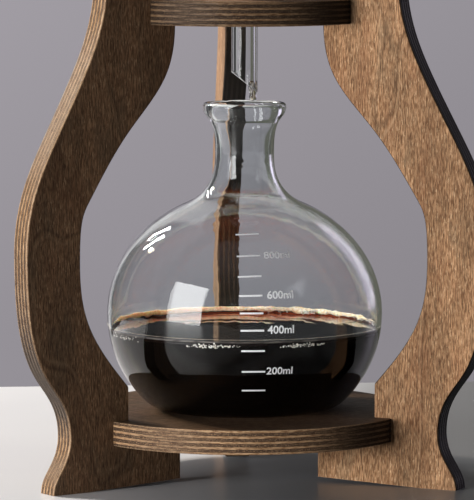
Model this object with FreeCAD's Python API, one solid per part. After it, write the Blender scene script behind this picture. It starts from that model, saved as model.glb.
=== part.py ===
"""Cold drip coffee tower: a three-legged plywood stand with a glass flask, a glass brew
chamber and a glass water globe with a stopcock.

Millimetres, +Z up. The origin is on the tower's axis, at the level of the table.
Every leg lies in an upright plane through that axis. -Y is the front: the flask
slides out there, between the left and the right leg, and the stopcock's knob faces it.
"""
import FreeCAD, Part
import math
import os

V = FreeCAD.Vector
UP = V(0, 0, 1)
UPRIGHT = (0, 1)            # the same direction in a (radius, height) outline
TOUCH = 1e-6                # two measures nearer than this are the same
DIAGONAL = math.sqrt(0.5)   # part of an inset that falls on each axis where the wall slants at 45 degrees

# ---- stand -----------------------------------------------------------------------
PLY = 11.4                  # thickness of every plywood piece
EDGE = 0.8                  # rounding of the plywood's edges
LEG_TURNS = {"leg_rear": 90.0, "leg_left": 210.0, "leg_right": 330.0}
BASE_TOP = 31.8             # top face of the shelf that carries the flask
BASE_RADIUS = 78.0
BASE_NOTCH = 69.5           # the legs' inner edge above the base shelf
BASE_LEDGE = 40.7           # inner end of the ledges under the base shelf
MIDDLE_BOTTOM = 214.3       # underside of the shelf that carries the brew chamber
MIDDLE_RADIUS = 57.0
MIDDLE_NOTCH = 50.0
MIDDLE_LEDGE = 42.7
MIDDLE_HOLE = 18.0
RING_BOTTOM = 446.0         # underside of the ring that carries the water globe
RING_RADIUS = 70.0
RING_NOTCH = 60.0
RING_LEDGE = 50.0
RING_HOLE = 46.0
TIP_TOP = 493.0             # top of the horns that stand round the globe
TIP_WIDTH = 13.0
TIP_MIDDLE = TIP_TOP - TIP_WIDTH / 2
HORN_GAP = 8.0              # room between the globe and the horns
SHARP_BELOW = 60.0          # the outline's short edges, and those that end below this height, stay sharp
SHORT_EDGE = 30.0

# ---- the legs' outline: outside and inside, each place as (radius, height) ---------
TOE = (110.6, 0.0)
TOE_FACE = (108.2, 8.0)
ANKLE = (101.3, 26.0)       # where the leg is drawn in above its foot
CALF = (113.9, 54.0)
BELLY = (124.3, 111.0)      # widest place of the lower curve
BELLY_TO_WAIST = ((107.1, 165.6), (89.9, 198.4))
WAIST = (79.5, 258.0)
CHEST = (99.0, 345.0)       # widest place of the upper curve
NAPE = (80.0, 432.0)
CHEST_INSIDE = (71.0, 342.0)
MIDDLE_CORNER = (MIDDLE_NOTCH, 240.0)       # the inner edge drops straight from here to the middle shelf
MIDDLE_CORNER_WAY = (-0.55, -0.83)          # direction in which it comes to that corner
MIDDLE_TO_BELLY = ((46.9, 192.6), (69.8, 163.7), (89.7, 134.8))
BELLY_INSIDE = (95.3, 106.0)
BELLY_TO_BASE = ((90.4, 77.0), (76.6, 56.0))
BASE_CORNER = (BASE_NOTCH, 47.8)            # and from here to the base shelf
BASE_CORNER_WAY = (-0.66, -0.75)
SOLE_FLAT = 18.0            # length of the flat sole behind the toe
SOLE_RISE = 2.0             # from there the sole lifts this much towards its inner end

# ---- dowels: radius, length below and above the joint, distance from the axis ------
BASE_DOWEL = (3.0, 12.0, 8.0, 55.0)
MIDDLE_DOWEL = (2.0, 9.0, 7.0, 46.3)
RING_DOWEL = (2.0, 9.0, 7.0, 55.0)

# ---- flask -----------------------------------------------------------------------
FLASK_FOOT = BASE_TOP + 0.1     # the flask stands this high
FLASK_RADIUS = 65.0
FLASK_MIDDLE = 77.0             # height of the widest ring
FLASK_RISE = 57.5               # upper half axis of the body's oval
FLASK_DROP = 60.5               # lower half axis
FLASK_WALL = 2.0
FLASK_BASE = 3.0                # thickness of the flask's floor
SHOULDER_TURN = 64.7            # where the upper oval ends, degrees above the widest ring
HEEL_TURN = 38.9                # where the lower oval ends, degrees below it
HEEL_RADIUS = 37.5              # outer edge of the ring that the flask stands on
HEEL_RING = 6.0                 # width of that ring
PUNT = 1.6                      # inside it the floor is pushed up this much
SHOULDER = (17.9, 136.6)        # bend between body and throat
THROAT = (13.9, 152.0)
NECK = (16.9, 168.6)            # from here the neck flares out to the thick lip
LIP = (19.7, 174.5)             # outermost ring of the lip
LIP_INSIDE = 16.2
LIP_TOP = 176.3
COFFEE_LEVEL = 70.8
LIQUID_GAP = 0.05

# ---- brew chamber ----------------------------------------------------------------
CHAMBER_RADIUS = 33.0
CHAMBER_WALL = 1.8
CHAMBER_MIDDLE = 254.5          # centre of the round bottom
CHAMBER_TOP = 352.0
CHAMBER_BEAD = 1.5
STEM_RADIUS = 6.1
STEM_BLEND = 8.0
STEM_TIP = 181.0                # lowest point of the slanted end, on the +X side
STEM_SLANT = 9.7                # the other side of the end is this much higher
SEAT_GAP = 0.3                  # between glass and the silicone seats
GROMMET_RADIUS = 25.0
GROMMET_BORE = 14.0
GROMMET_LIP = 3.6
GROMMET_DEPTH = 8.4
SEAT_EDGE = 1.0                 # rounding of the silicone seats' rims
FILTER_BOTTOM = 238.6
FILTER_RADIUS = 24.5
FILTER_THICK = 1.2
FILTER_SEAL_BOTTOM = 237.8
FILTER_SEAL_TOP = 240.6
FILTER_SEAL_LAP = 1.0
FILTER_HOLE = 1.2
FILTER_RINGS = ((0.0, 1), (8.5, 6), (17.0, 12))     # ring radius, number of holes
GROUNDS_TOP = 298.0
PAPER_RADIUS = 30.0
PAPER_THICK = 0.4

# ---- water globe -----------------------------------------------------------------
GLOBE_RADIUS = 65.0
GLOBE_WALL = 2.0
GLOBE_MIDDLE = 505.0
HORN_REACH = GLOBE_RADIUS + HORN_GAP    # from the globe's centre to the inner edge of the horns
GLOBE_FLAT = 441.3             # flat under the globe, round its outlet
GLOBE_FLOOR = 3.0
OUTLET_HOLE = 7.0
COLLAR_RADIUS = 32.0
COLLAR_BLEND = 4.0
COLLAR_TOP = 574.0
COLLAR_BEAD = 1.4
SEAT_RING_BORE = 43.5
SEAT_RING_LIP = 52.0
SEAT_RING_THICK = 2.5
SEAT_RING_DEPTH = 8.0

# ---- stopcock --------------------------------------------------------------------
GASKET_THICK = 2.5
GASKET_RADIUS = 12.0
INNER_GASKET_THICK = 2.0
BOLT_HEAD_FLATS = 22.0
BOLT_HEAD_TURNED = 12.1         # radius to which the head's corners are turned
BOLT_HEAD_THICK = 3.0
BOLT_SHANK = 6.5
BOLT_LENGTH = 17.0
BOLT_BORE = 2.5
COCK_TOP = GLOBE_FLAT - GASKET_THICK
COCK_FLANGE = 12.5
COCK_FLANGE_THICK = 3.0
COCK_FLATS = 22.0               # across the two spanner flats of the flange
COCK_NECK = 9.5
COCK_SOCKET = 9.0               # depth of the thread that takes the bolt
COCK_MIDDLE = 417.0             # height of the plug's axis
BARREL_RADIUS = 10.5
BARREL_HALF = 13.0
BARREL_EDGE = 0.8
COCK_BOSS = 8.0
COCK_BOTTOM = 396.0
PASSAGE = 2.0
PLUG_FRONT = 6.0                # the plug's taper, front and rear radius
PLUG_REAR = 4.7
PLUG_PLAY = 0.05
PLUG_SHOULDER = 8.0
SHOULDER_THICK = 1.9
FACE_PLAY = 0.1
STUB_RADIUS = 3.5
STUB_LENGTH = 12.0
TAIL_RADIUS = 2.5
TAIL_LENGTH = 7.0
PLUG_HOLE = 1.5
WASHER_RADIUS = 7.0
WASHER_THICK = 1.0
NUT_FLATS = 9.0
NUT_THICK = 4.0
KNOB_RADIUS = 13.0
KNOB_REAR = -19.0               # rear and front face of the knob, along Y
KNOB_FRONT = -34.0
KNOB_EDGE = 2.0
KNOB_HUB = 7.0
KNOB_FLUTES = 12
FLUTE_RADIUS = 2.4
FLUTE_PLACE = 14.2              # from the knob's axis to the middle of each flute
SCREW_HEAD = 3.0
SCREW_HEAD_THICK = 1.8
SCREW_SHANK = 1.5
SCREW_LENGTH = 11.0
KEY_FLATS = 2.5
KEY_DEPTH = 1.2
NOZZLE_HEX = 12.0
NOZZLE_HEX_THICK = 6.0
NOZZLE_SPIGOT = 4.5
NOZZLE_SPIGOT_LENGTH = 8.0
NOZZLE_RADIUS = 3.4
NOZZLE_END = 2.2
NOZZLE_TIP = 366.0
NOZZLE_BORE = 1.5

# ---- lid of the globe ------------------------------------------------------------
LID_BOTTOM = COLLAR_TOP + 0.4
LID_RADIUS = 38.0
LID_THICK = 9.0
LID_EDGE = 2.5
SPIGOT_RADIUS = 28.4
SPIGOT_DEPTH = 9.0
SEAL_THICK = 1.2
SEAL_DROP = 4.5
VENT_RADIUS = 1.5
VENT_PLACE = 18.0
KNOB_TENON = 4.0
TENON_DEPTH = 6.0
LID_KNOB_FOOT = 9.0
LID_KNOB_NECK = (6.0, 6.0)      # radius, and height above the lid
LID_KNOB_HEAD = (11.0, 13.6)
LID_KNOB_HEIGHT = 20.0
LID_KNOB_WAY = (-0.6, 0.8)      # direction of its side where it leaves the lid


# ---- drawing helpers -------------------------------------------------------------
def at(radius, height):
    return V(radius, 0, height)


def run(*points):
    """Straight edges through the points, given as (radius, height)."""
    corners = [at(*point) for point in points]
    return [Part.LineSegment(a, b).toShape() for a, b in zip(corners, corners[1:])]


def bow(start, middle, end):
    return [Part.Arc(at(*start), at(*middle), at(*end)).toShape()]


def sweep_curve(points, leave, arrive):
    """One smooth edge through the points, with the given end directions."""
    curve = Part.BSplineCurve()
    curve.interpolate(Points=[at(*point) for point in points],
                      InitialTangent=at(*leave), FinalTangent=at(*arrive))
    return [curve.toShape()]


def turned(edges):
    """The solid of revolution of a closed outline, about the tower's axis."""
    face = Part.Face(Part.Wire(Part.__sortEdges__(edges)))
    return face.revolve(V(0, 0, 0), UP, 360)


def disc(radius, bottom, top, direction=UP, centre=V(0, 0, 0)):
    return Part.makeCylinder(radius, top - bottom, centre + direction * bottom, direction)


def ring(outer, inner, bottom, top, direction=UP, centre=V(0, 0, 0)):
    return disc(outer, bottom, top, direction, centre).cut(disc(inner, bottom, top, direction, centre))


def hex_prism(flats, bottom, top, direction=UP, centre=V(0, 0, 0)):
    corner = flats / math.sqrt(3)
    reference = V(1, 0, 0)
    other = direction.cross(reference)
    corners = []
    for step in range(7):
        angle = math.radians(60 * step)
        corners.append(centre + direction * bottom
                       + reference * (corner * math.cos(angle)) + other * (corner * math.sin(angle)))
    return Part.Face(Part.makePolygon(corners)).extrude(direction * (top - bottom))


def spun(shape, degrees):
    copy = shape.copy()
    copy.rotate(V(0, 0, 0), UP, degrees)
    return copy


def rounded(shape, radius, keep):
    """Round the edges that keep() picks."""
    return shape.makeFillet(radius, [edge for edge in shape.Edges if keep(edge)])


# ---- stand -----------------------------------------------------------------------
def horn_radius(height):
    """Inner edge of the horns: a constant gap round the globe."""
    return math.sqrt(HORN_REACH ** 2 - (GLOBE_MIDDLE - height) ** 2)


def leg_outer_edges(tip_outer):
    """From the toe up to the tip; the outline stands upright at every waist and belly."""
    spans = ([TOE, TOE_FACE, ANKLE], [ANKLE, CALF, BELLY], [BELLY, *BELLY_TO_WAIST, WAIST],
             [WAIST, CHEST], [CHEST, NAPE], [NAPE, tip_outer])
    edges = []
    for span in spans:
        edges += sweep_curve(span, UPRIGHT, UPRIGHT)
    return edges


def leg_inner_edges(tip_inner):
    """From the horn's inner edge down to the sole's inner end."""
    horn_foot = (RING_NOTCH, GLOBE_MIDDLE - math.sqrt(HORN_REACH ** 2 - RING_NOTCH ** 2))
    horn_middle = (horn_foot[1] + tip_inner[1]) / 2
    horn = bow(tip_inner, (horn_radius(horn_middle), horn_middle), horn_foot)
    ring_ledge = (RING_LEDGE, RING_BOTTOM)
    ring_seat = run(horn_foot, (RING_NOTCH, RING_BOTTOM), ring_ledge)
    down = (0, -1)
    upper = sweep_curve([ring_ledge, CHEST_INSIDE], down, down)
    upper += sweep_curve([CHEST_INSIDE, MIDDLE_CORNER], down, MIDDLE_CORNER_WAY)
    middle_ledge = (MIDDLE_LEDGE, MIDDLE_BOTTOM)
    middle_seat = run(MIDDLE_CORNER, (MIDDLE_NOTCH, MIDDLE_BOTTOM), middle_ledge)
    lower = sweep_curve([middle_ledge, *MIDDLE_TO_BELLY, BELLY_INSIDE], down, down)
    lower += sweep_curve([BELLY_INSIDE, *BELLY_TO_BASE, BASE_CORNER], down, BASE_CORNER_WAY)
    ledge = BASE_TOP - PLY
    base_seat = run(BASE_CORNER, (BASE_NOTCH, ledge), (BASE_LEDGE, ledge), (BASE_LEDGE, SOLE_RISE))
    return horn + ring_seat + upper + middle_seat + lower + base_seat


def leg_tip_edge(tip_outer, tip_inner):
    """Over the top of the horn, square to its inner edge at the end."""
    crown = ((tip_outer[0] + tip_inner[0]) / 2, TIP_TOP)
    arrive = (TIP_MIDDLE - GLOBE_MIDDLE, -tip_inner[0])
    return sweep_curve([tip_outer, crown, tip_inner], UPRIGHT, arrive)


def dowel_hole(dowel, joint, length_down, length_up):
    radius, _, _, place = dowel
    return disc(radius, joint - length_down, joint + length_up, centre=V(place, 0, 0))


def curved_outline(edge):
    """Whether an edge of the sawn leg is one of the long curves round its two faces."""
    in_face = all(abs(abs(vertex.Y) - PLY / 2) < TOUCH for vertex in edge.Vertexes)
    along_face = abs(edge.Vertexes[0].Y - edge.Vertexes[-1].Y) < TOUCH
    return in_face and along_face and edge.Length > SHORT_EDGE and edge.BoundBox.ZMax > SHARP_BELOW


def make_leg():
    tip_inner = (horn_radius(TIP_MIDDLE), TIP_MIDDLE)
    tip_outer = (tip_inner[0] + TIP_WIDTH, TIP_MIDDLE)
    outline = leg_outer_edges(tip_outer) + leg_tip_edge(tip_outer, tip_inner) + leg_inner_edges(tip_inner)
    outline += run((BASE_LEDGE, SOLE_RISE), (TOE[0] - SOLE_FLAT, 0.0), TOE)
    leg = Part.Face(Part.Wire(Part.__sortEdges__(outline))).extrude(V(0, PLY, 0))
    leg.translate(V(0, -PLY / 2, 0))
    leg = rounded(leg, EDGE, curved_outline)
    for dowel, joint in ((BASE_DOWEL, BASE_TOP - PLY), (MIDDLE_DOWEL, MIDDLE_BOTTOM),
                         (RING_DOWEL, RING_BOTTOM)):
        leg = leg.cut(dowel_hole(dowel, joint, dowel[1], 0.0))
    return leg


def make_shelf(radius, hole, notch, bottom, dowel):
    """A round shelf with three open notches for the legs and a blind hole behind each."""
    top = bottom + PLY
    shelf = rounded(disc(radius, bottom, top), EDGE, lambda edge: edge.Closed)
    if hole:
        shelf = shelf.cut(disc(hole, bottom, top))
    slot = Part.makeBox(radius, PLY, PLY, V(notch, -PLY / 2, bottom))
    blind = dowel_hole(dowel, bottom, 0.0, dowel[2])
    for turn in LEG_TURNS.values():
        shelf = shelf.cut(spun(slot, turn)).cut(spun(blind, turn))
    return shelf


def make_dowels(dowel, joint):
    one = dowel_hole(dowel, joint, dowel[1], dowel[2])
    return Part.makeCompound([spun(one, turn) for turn in LEG_TURNS.values()])


def make_stand():
    leg = make_leg()
    parts = {name: spun(leg, turn) for name, turn in LEG_TURNS.items()}
    base_bottom = BASE_TOP - PLY
    parts["base_shelf"] = make_shelf(BASE_RADIUS, 0, BASE_NOTCH, base_bottom, BASE_DOWEL)
    parts["middle_shelf"] = make_shelf(MIDDLE_RADIUS, MIDDLE_HOLE, MIDDLE_NOTCH, MIDDLE_BOTTOM,
                                       MIDDLE_DOWEL)
    parts["top_ring"] = make_shelf(RING_RADIUS, RING_HOLE, RING_NOTCH, RING_BOTTOM, RING_DOWEL)
    parts["base_dowels"] = make_dowels(BASE_DOWEL, base_bottom)
    parts["middle_dowels"] = make_dowels(MIDDLE_DOWEL, MIDDLE_BOTTOM)
    parts["ring_dowels"] = make_dowels(RING_DOWEL, RING_BOTTOM)
    return parts


def make_chamber_grommet():
    """Silicone bush in the middle shelf, hollowed to the chamber's round bottom."""
    top = MIDDLE_BOTTOM + PLY
    bush = disc(GROMMET_RADIUS, top, top + GROMMET_LIP)
    bush = rounded(bush, SEAT_EDGE, lambda edge: edge.Closed and edge.BoundBox.ZMin > top + SEAT_EDGE)
    bush = bush.fuse(disc(MIDDLE_HOLE, top - GROMMET_DEPTH, top))
    bush = bush.cut(disc(GROMMET_BORE, top - GROMMET_DEPTH, top + GROMMET_LIP))
    return bush.cut(Part.makeSphere(CHAMBER_RADIUS + SEAT_GAP, V(0, 0, CHAMBER_MIDDLE)))


def make_globe_seat():
    """Silicone ring in the top ring, hollowed to the globe."""
    top = RING_BOTTOM + PLY
    seat = disc(SEAT_RING_LIP, top, top + SEAT_RING_THICK)
    seat = rounded(seat, SEAT_EDGE, lambda edge: edge.Closed and edge.BoundBox.ZMin > top + SEAT_EDGE)
    seat = seat.fuse(disc(RING_HOLE, top - SEAT_RING_DEPTH, top))
    seat = seat.cut(disc(SEAT_RING_BORE, top - SEAT_RING_DEPTH, top + SEAT_RING_THICK))
    return seat.cut(Part.makeSphere(GLOBE_RADIUS + SEAT_GAP, V(0, 0, GLOBE_MIDDLE)))


# ---- flask -----------------------------------------------------------------------
def flask_point(turn, rise, inset):
    """Point of the body's oval, turn degrees above or below its widest ring."""
    angle = math.radians(turn)
    return ((FLASK_RADIUS - inset) * math.cos(angle), FLASK_MIDDLE + (rise - inset) * math.sin(angle))


def flask_oval(start_turn, end_turn, rise, inset):
    """Arc of the body's oval; a negative turn lies below the widest ring."""
    side = 1 if end_turn > 0 or start_turn > 0 else -1
    oval = Part.Ellipse(at(FLASK_RADIUS - inset, FLASK_MIDDLE),
                        at(0, FLASK_MIDDLE + side * (rise - inset)), at(0, FLASK_MIDDLE))
    low, high = sorted((abs(start_turn), abs(end_turn)))
    return [oval.toShape(math.radians(low), math.radians(high))]


def flask_neck(inset):
    """Shoulder, throat and lip, from the top of the oval upwards."""
    start = flask_point(SHOULDER_TURN, FLASK_RISE, inset)
    slope = (-(FLASK_RADIUS - inset) * math.sin(math.radians(SHOULDER_TURN)),
             (FLASK_RISE - inset) * math.cos(math.radians(SHOULDER_TURN)))
    bend = (SHOULDER[0] - DIAGONAL * inset, SHOULDER[1] - DIAGONAL * inset)
    throat = (THROAT[0] - inset, THROAT[1])
    neck = (NECK[0] - inset, NECK[1])
    edges = sweep_curve([start, bend, throat], slope, UPRIGHT)
    lip = (LIP_INSIDE, LIP[1]) if inset else LIP
    return edges + sweep_curve([throat, neck, lip], UPRIGHT, UPRIGHT)


def flask_heel(inset, floor):
    start = (HEEL_RADIUS - inset, floor)
    end = flask_point(-HEEL_TURN, FLASK_DROP, inset)
    slope = ((FLASK_RADIUS - inset) * math.sin(math.radians(HEEL_TURN)),
             (FLASK_DROP - inset) * math.cos(math.radians(HEEL_TURN)))
    return sweep_curve([start, end], (1, 0), slope)


def flask_wall(inset, floor):
    """One side of the glass, from the floor up to the lip."""
    return (flask_heel(inset, floor) + flask_oval(0, -HEEL_TURN, FLASK_DROP, inset)
            + flask_oval(0, SHOULDER_TURN, FLASK_RISE, inset) + flask_neck(inset))


def flask_punt():
    """The shallow dome under the floor, and the ring round it that the flask stands on."""
    reach = HEEL_RADIUS - HEEL_RING
    ball = (reach ** 2 + PUNT ** 2) / (2 * PUNT)
    half_way = PUNT - ball + math.sqrt(ball ** 2 - reach ** 2 / 4)
    dome = bow((0, FLASK_FOOT + PUNT), (reach / 2, FLASK_FOOT + half_way), (reach, FLASK_FOOT))
    return dome + run((reach, FLASK_FOOT), (HEEL_RADIUS, FLASK_FOOT))


def make_flask():
    lip = bow(LIP, ((LIP[0] + LIP_INSIDE) / 2, LIP_TOP), (LIP_INSIDE, LIP[1]))
    floor = FLASK_FOOT + FLASK_BASE
    close = run((HEEL_RADIUS - FLASK_WALL, floor), (0, floor), (0, FLASK_FOOT + PUNT))
    return turned(flask_punt() + flask_wall(0, FLASK_FOOT) + lip + flask_wall(FLASK_WALL, floor) + close)


def make_coffee():
    """The brewed coffee in the flask, up to its level."""
    inset = FLASK_WALL + LIQUID_GAP
    floor = FLASK_FOOT + FLASK_BASE + LIQUID_GAP
    drop = FLASK_DROP - inset
    level_turn = math.degrees(math.asin((FLASK_MIDDLE - COFFEE_LEVEL) / drop))
    edge = flask_point(-level_turn, FLASK_DROP, inset)
    side = flask_heel(inset, floor) + flask_oval(-level_turn, -HEEL_TURN, FLASK_DROP, inset)
    close = run(edge, (0, COFFEE_LEVEL), (0, floor), (HEEL_RADIUS - inset, floor))
    return turned(side + close)


# ---- brew chamber ----------------------------------------------------------------
def blended_neck(ball, neck, blend, middle, side):
    """Where a round body turns into a tube with a hollow blend. side is -1 when the tube
    hangs below the body and 1 when it stands on it. Returns the point on the ball, the
    middle of the blend and the point on the tube."""
    out = neck + blend
    along = math.sqrt((ball + blend) ** 2 - out ** 2)
    centre = (out, middle + side * along)
    share = ball / (ball + blend)
    on_ball = (out * share, middle + side * along * share)
    on_tube = (neck, centre[1])
    half = math.atan2(on_ball[1] - centre[1], on_ball[0] - centre[0])
    half = (half % (2 * math.pi) + math.pi) / 2
    between = (centre[0] + blend * math.cos(half), centre[1] + blend * math.sin(half))
    return on_ball, between, on_tube


def ball_bow(ball, middle, start, end):
    """Arc on a ball round the axis between two of its points."""
    first = math.atan2(start[1] - middle, start[0])
    last = math.atan2(end[1] - middle, end[0])
    half = (first + last) / 2
    return bow(start, (ball * math.cos(half), middle + ball * math.sin(half)), end)


def chamber_side(inset):
    """Stem, round bottom and wall, from the stem's end to the rim."""
    ball = CHAMBER_RADIUS - inset
    stem = STEM_RADIUS - inset
    on_ball, between, on_stem = blended_neck(ball, stem, STEM_BLEND + inset, CHAMBER_MIDDLE, -1)
    edges = run((stem, STEM_TIP), on_stem) + bow(on_stem, between, on_ball)
    edges += ball_bow(ball, CHAMBER_MIDDLE, on_ball, (ball, CHAMBER_MIDDLE))
    return edges + run((ball, CHAMBER_MIDDLE), (ball, CHAMBER_TOP - CHAMBER_BEAD))


def stem_offcut():
    """What the slanting cut takes off the stem's lower end."""
    reach = 2 * STEM_RADIUS
    low = STEM_TIP - STEM_SLANT / 2
    high = low + 2 * STEM_SLANT
    start = V(reach, -reach, low)
    triangle = Part.makePolygon([start, V(-reach, -reach, high), V(-reach, -reach, low), start])
    return Part.Face(triangle).extrude(V(0, 2 * reach, 0))


def make_chamber():
    inner = CHAMBER_RADIUS - CHAMBER_WALL
    bead_low = CHAMBER_TOP - CHAMBER_BEAD
    rim = bow((CHAMBER_RADIUS, bead_low), ((CHAMBER_RADIUS + inner) / 2, CHAMBER_TOP), (inner, bead_low))
    end = run((STEM_RADIUS - CHAMBER_WALL, STEM_TIP), (STEM_RADIUS, STEM_TIP))
    glass = turned(chamber_side(0) + chamber_side(CHAMBER_WALL) + rim + end)
    return glass.cut(stem_offcut())


def make_filter_disc():
    plate = disc(FILTER_RADIUS, FILTER_BOTTOM, FILTER_BOTTOM + FILTER_THICK)
    holes = []
    for radius, count in FILTER_RINGS:
        for index in range(count):
            hole = disc(FILTER_HOLE, FILTER_BOTTOM, FILTER_BOTTOM + FILTER_THICK, centre=V(radius, 0, 0))
            holes.append(spun(hole, 360.0 * index / count))
    return plate.cut(Part.makeCompound(holes))


def make_filter_seal(plate_radius):
    """Silicone rim of the filter, shaped to the chamber's round bottom."""
    outer = CHAMBER_RADIUS - CHAMBER_WALL
    seal = ring(outer, plate_radius - FILTER_SEAL_LAP, FILTER_SEAL_BOTTOM, FILTER_SEAL_TOP)
    seal = seal.common(Part.makeSphere(outer - LIQUID_GAP, V(0, 0, CHAMBER_MIDDLE)))
    return seal.cut(disc(plate_radius, FILTER_BOTTOM, FILTER_BOTTOM + FILTER_THICK))


def make_grounds():
    inner = CHAMBER_RADIUS - CHAMBER_WALL - LIQUID_GAP
    height = FILTER_SEAL_TOP - CHAMBER_MIDDLE
    start = (math.sqrt(inner ** 2 - height ** 2), FILTER_SEAL_TOP)
    side = ball_bow(inner, CHAMBER_MIDDLE, start, (inner, CHAMBER_MIDDLE))
    close = run((inner, CHAMBER_MIDDLE), (inner, GROUNDS_TOP), (0, GROUNDS_TOP), (0, FILTER_SEAL_TOP),
                start)
    return turned(side + close)


def make_brewer():
    return {
        "brew_chamber": make_chamber(),
        "filter_disc": make_filter_disc(),
        "filter_seal": make_filter_seal(FILTER_RADIUS),
        "coffee_grounds": make_grounds(),
        "paper_filter": disc(PAPER_RADIUS, GROUNDS_TOP, GROUNDS_TOP + PAPER_THICK),
    }


# ---- water globe -----------------------------------------------------------------
def globe_side(inset, floor):
    """Body and collar, from the flat under the globe to the rim."""
    ball = GLOBE_RADIUS - inset
    collar = COLLAR_RADIUS - inset
    on_ball, between, on_collar = blended_neck(ball, collar, COLLAR_BLEND + inset, GLOBE_MIDDLE, 1)
    start = (math.sqrt(ball ** 2 - (GLOBE_MIDDLE - floor) ** 2), floor)
    edges = ball_bow(ball, GLOBE_MIDDLE, start, on_ball) + bow(on_ball, between, on_collar)
    return edges + run(on_collar, (collar, COLLAR_TOP - COLLAR_BEAD)), start


def make_globe():
    floor = GLOBE_FLAT + GLOBE_FLOOR
    outer, outer_start = globe_side(0, GLOBE_FLAT)
    inner, inner_start = globe_side(GLOBE_WALL, floor)
    low = COLLAR_TOP - COLLAR_BEAD
    rim = bow((COLLAR_RADIUS, low), (COLLAR_RADIUS - GLOBE_WALL / 2, COLLAR_TOP),
              (COLLAR_RADIUS - GLOBE_WALL, low))
    close = run(inner_start, (OUTLET_HOLE, floor), (OUTLET_HOLE, GLOBE_FLAT), outer_start)
    return turned(outer + rim + inner + close)


def make_outlet_bolt():
    """Hollow bolt that clamps the globe between two gaskets onto the stopcock."""
    head_bottom = GLOBE_FLAT + GLOBE_FLOOR + INNER_GASKET_THICK
    head_top = head_bottom + BOLT_HEAD_THICK
    head = hex_prism(BOLT_HEAD_FLATS, head_bottom, head_top)
    bolt = head.common(disc(BOLT_HEAD_TURNED, head_bottom, head_top))
    bolt = bolt.fuse(disc(BOLT_SHANK, head_bottom - BOLT_LENGTH + BOLT_HEAD_THICK, head_bottom))
    return bolt.cut(disc(BOLT_BORE, head_bottom - BOLT_LENGTH, head_top))


def make_cock_body():
    front = V(0, -1, 0)
    middle = V(0, 0, COCK_MIDDLE)
    flange = disc(COCK_FLANGE, COCK_TOP - COCK_FLANGE_THICK, COCK_TOP)
    flats = Part.makeBox(COCK_FLATS, COCK_FLANGE * 2, COCK_FLANGE_THICK,
                         V(-COCK_FLATS / 2, -COCK_FLANGE, COCK_TOP - COCK_FLANGE_THICK))
    neck = disc(COCK_NECK, COCK_MIDDLE, COCK_TOP - COCK_FLANGE_THICK)
    barrel = disc(BARREL_RADIUS, -BARREL_HALF, BARREL_HALF, front, middle)
    barrel = rounded(barrel, BARREL_EDGE, lambda edge: edge.Closed)
    boss = disc(COCK_BOSS, COCK_BOTTOM, COCK_MIDDLE)
    body = flange.common(flats).fuse([neck, barrel, boss])
    taper = Part.makeCone(PLUG_FRONT + PLUG_PLAY, PLUG_REAR + PLUG_PLAY, 2 * BARREL_HALF,
                          middle + front * BARREL_HALF, front * -1)
    body = body.cut(taper).cut(disc(PASSAGE, COCK_BOTTOM, COCK_TOP))
    body = body.cut(disc(BOLT_SHANK, COCK_TOP - COCK_SOCKET, COCK_TOP))
    return body.cut(disc(NOZZLE_SPIGOT, COCK_BOTTOM, COCK_BOTTOM + NOZZLE_SPIGOT_LENGTH)).removeSplitter()


def make_nozzle():
    hex_bottom = COCK_BOTTOM - NOZZLE_HEX_THICK
    nozzle = hex_prism(NOZZLE_HEX, hex_bottom, COCK_BOTTOM)
    nozzle = nozzle.fuse(disc(NOZZLE_SPIGOT, COCK_BOTTOM, COCK_BOTTOM + NOZZLE_SPIGOT_LENGTH))
    spout = Part.makeCone(NOZZLE_END, NOZZLE_RADIUS, hex_bottom - NOZZLE_TIP, V(0, 0, NOZZLE_TIP), UP)
    nozzle = nozzle.fuse(spout)
    return nozzle.cut(disc(NOZZLE_BORE, NOZZLE_TIP, COCK_BOTTOM + NOZZLE_SPIGOT_LENGTH))


def make_reservoir():
    floor = GLOBE_FLAT + GLOBE_FLOOR
    return {
        "water_globe": make_globe(),
        "outlet_bolt": make_outlet_bolt(),
        "inner_gasket": ring(GASKET_RADIUS, BOLT_SHANK, floor, floor + INNER_GASKET_THICK),
        "outer_gasket": ring(GASKET_RADIUS, BOLT_SHANK, COCK_TOP, GLOBE_FLAT),
        "cock_body": make_cock_body(),
        "drip_nozzle": make_nozzle(),
    }


# ---- what turns in the stopcock ----------------------------------------------------
def along_y(radius, start, end):
    """A round bar on the plug's axis between two places along Y."""
    return disc(radius, start, end, V(0, 1, 0), V(0, 0, COCK_MIDDLE))


def make_plug():
    axis = V(0, 1, 0)
    middle = V(0, 0, COCK_MIDDLE)
    cone = Part.makeCone(PLUG_FRONT, PLUG_REAR, 2 * BARREL_HALF, middle - axis * BARREL_HALF, axis)
    shoulder_rear = -BARREL_HALF - FACE_PLAY
    shoulder_front = shoulder_rear - SHOULDER_THICK
    plug = cone.fuse([along_y(PLUG_FRONT, shoulder_rear, -BARREL_HALF),
                      along_y(PLUG_SHOULDER, shoulder_front, shoulder_rear),
                      along_y(STUB_RADIUS, shoulder_front - STUB_LENGTH, shoulder_front),
                      along_y(TAIL_RADIUS, BARREL_HALF, BARREL_HALF + TAIL_LENGTH)])
    waterway = disc(PLUG_HOLE, COCK_MIDDLE - PLUG_FRONT * 2, COCK_MIDDLE + PLUG_FRONT * 2)
    screw_hole = along_y(SCREW_SHANK, KNOB_FRONT, KNOB_FRONT + SCREW_HEAD_THICK + SCREW_LENGTH)
    return plug.cut(waterway).cut(screw_hole)


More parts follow.
